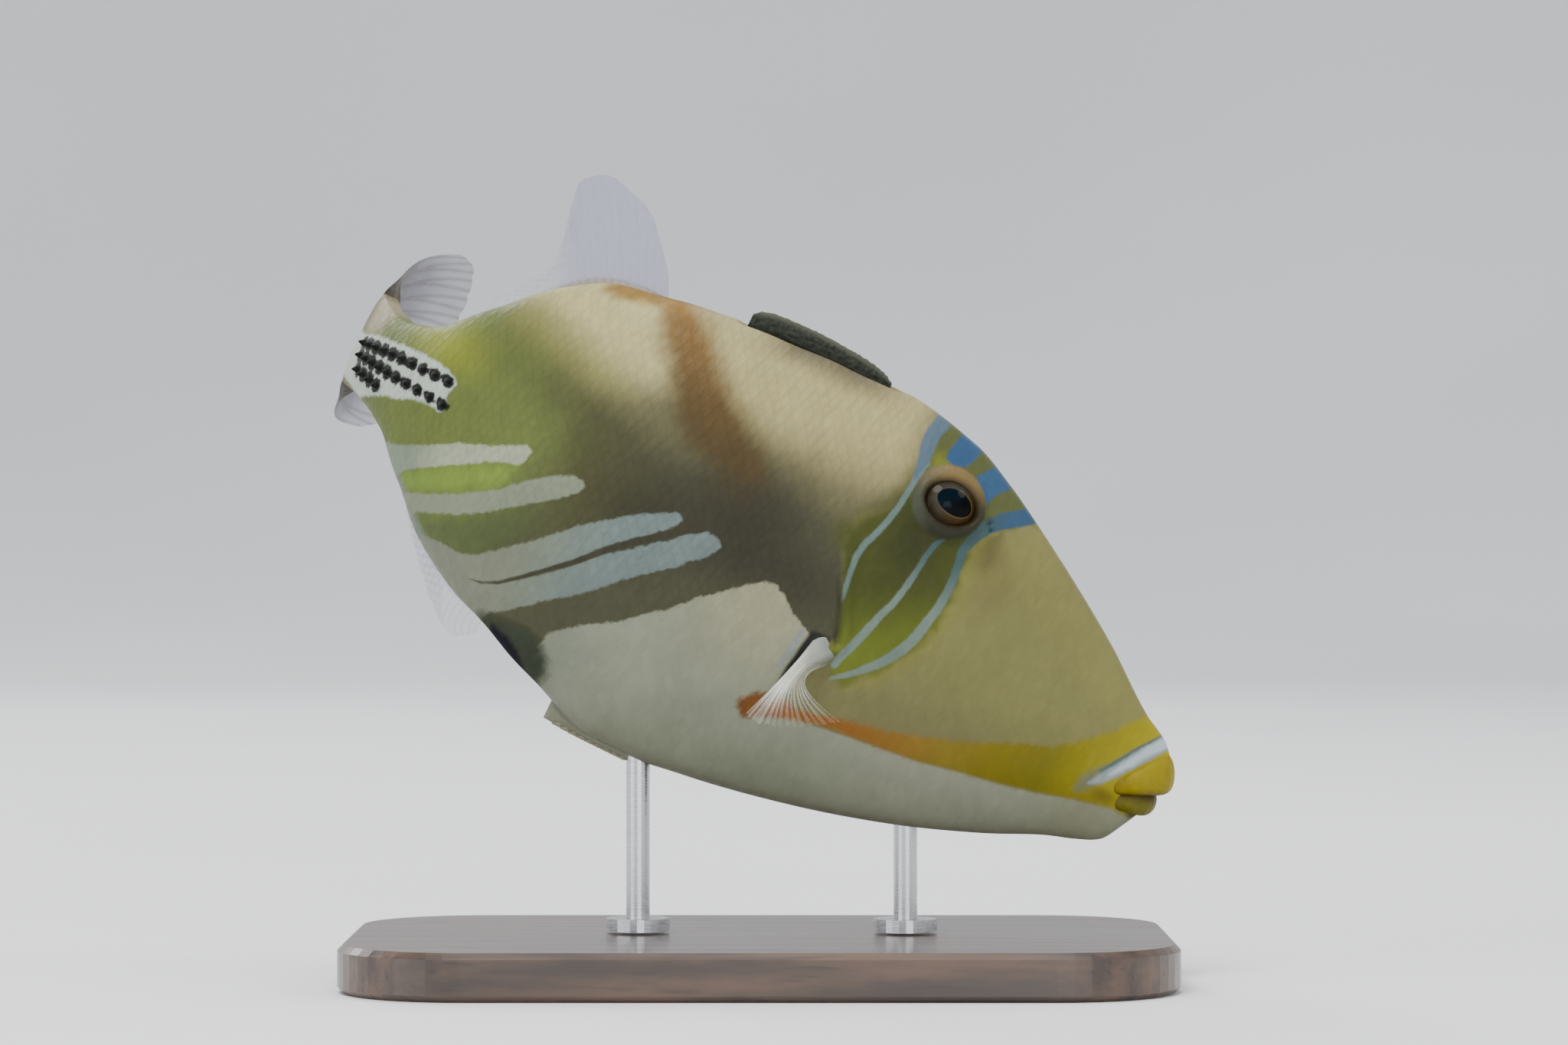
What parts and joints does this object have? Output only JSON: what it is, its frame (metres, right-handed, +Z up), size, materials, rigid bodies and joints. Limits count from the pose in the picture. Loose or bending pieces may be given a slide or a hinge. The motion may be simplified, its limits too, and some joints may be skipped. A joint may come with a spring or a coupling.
{
  "type": "triggerfish display model",
  "caption": "Life-size still model of a picasso triggerfish, nose down with its tail swung to one side, held by rods on a flat rounded base.",
  "frame": {"origin": "centre of the underside of the stand's base", "axes": "+X towards the snout, +Y away from the side the picture shows, which is the fish's right side, +Z up"},
  "size_m": [0.1099, 0.0847, 0.102],
  "materials": {
    "head": "painted skin of the head: olive and beige cheek with yellow lips, light blue lines and dark bars at the eye",
    "trunk": "painted scaly skin of the trunk: cream back, brown oblique band, white belly with oblique white stripes behind",
    "tail_stalk": "painted olive skin with rows of short black spines on a pale patch",
    "first_dorsal_fin": "rough dark grey-green spine",
    "second_dorsal_fin": "thin pale membrane between rays",
    "anal_fin": "thin pale membrane between rays",
    "caudal_fin": "thin pale membrane between rays",
    "pectoral_fin_right": "thin clear membrane between rays",
    "pectoral_fin_left": "thin clear membrane between rays",
    "pelvic_flap": "pale keel of skin with a rough barbed edge",
    "eye_right": "glossy eye with a thin gold ring",
    "eye_left": "glossy eye with a thin gold ring",
    "stand_base": "dark stained wood, satin",
    "stand_rod_front": "brushed steel rod with a round foot",
    "stand_rod_rear": "brushed steel rod with a round foot"
  },
  "bodies": {
    "root": {"head": "head", "trunk": "trunk", "tail_stalk": "tail_stalk", "first_dorsal_fin": "first_dorsal_fin", "second_dorsal_fin": "second_dorsal_fin", "anal_fin": "anal_fin", "caudal_fin": "caudal_fin", "pectoral_fin_right": "pectoral_fin_right", "pectoral_fin_left": "pectoral_fin_left", "pelvic_flap": "pelvic_flap", "eye_right": "eye_right", "eye_left": "eye_left", "stand_base": "stand_base", "stand_rod_front": "stand_rod_front", "stand_rod_rear": "stand_rod_rear"}
  },
  "joints": []
}
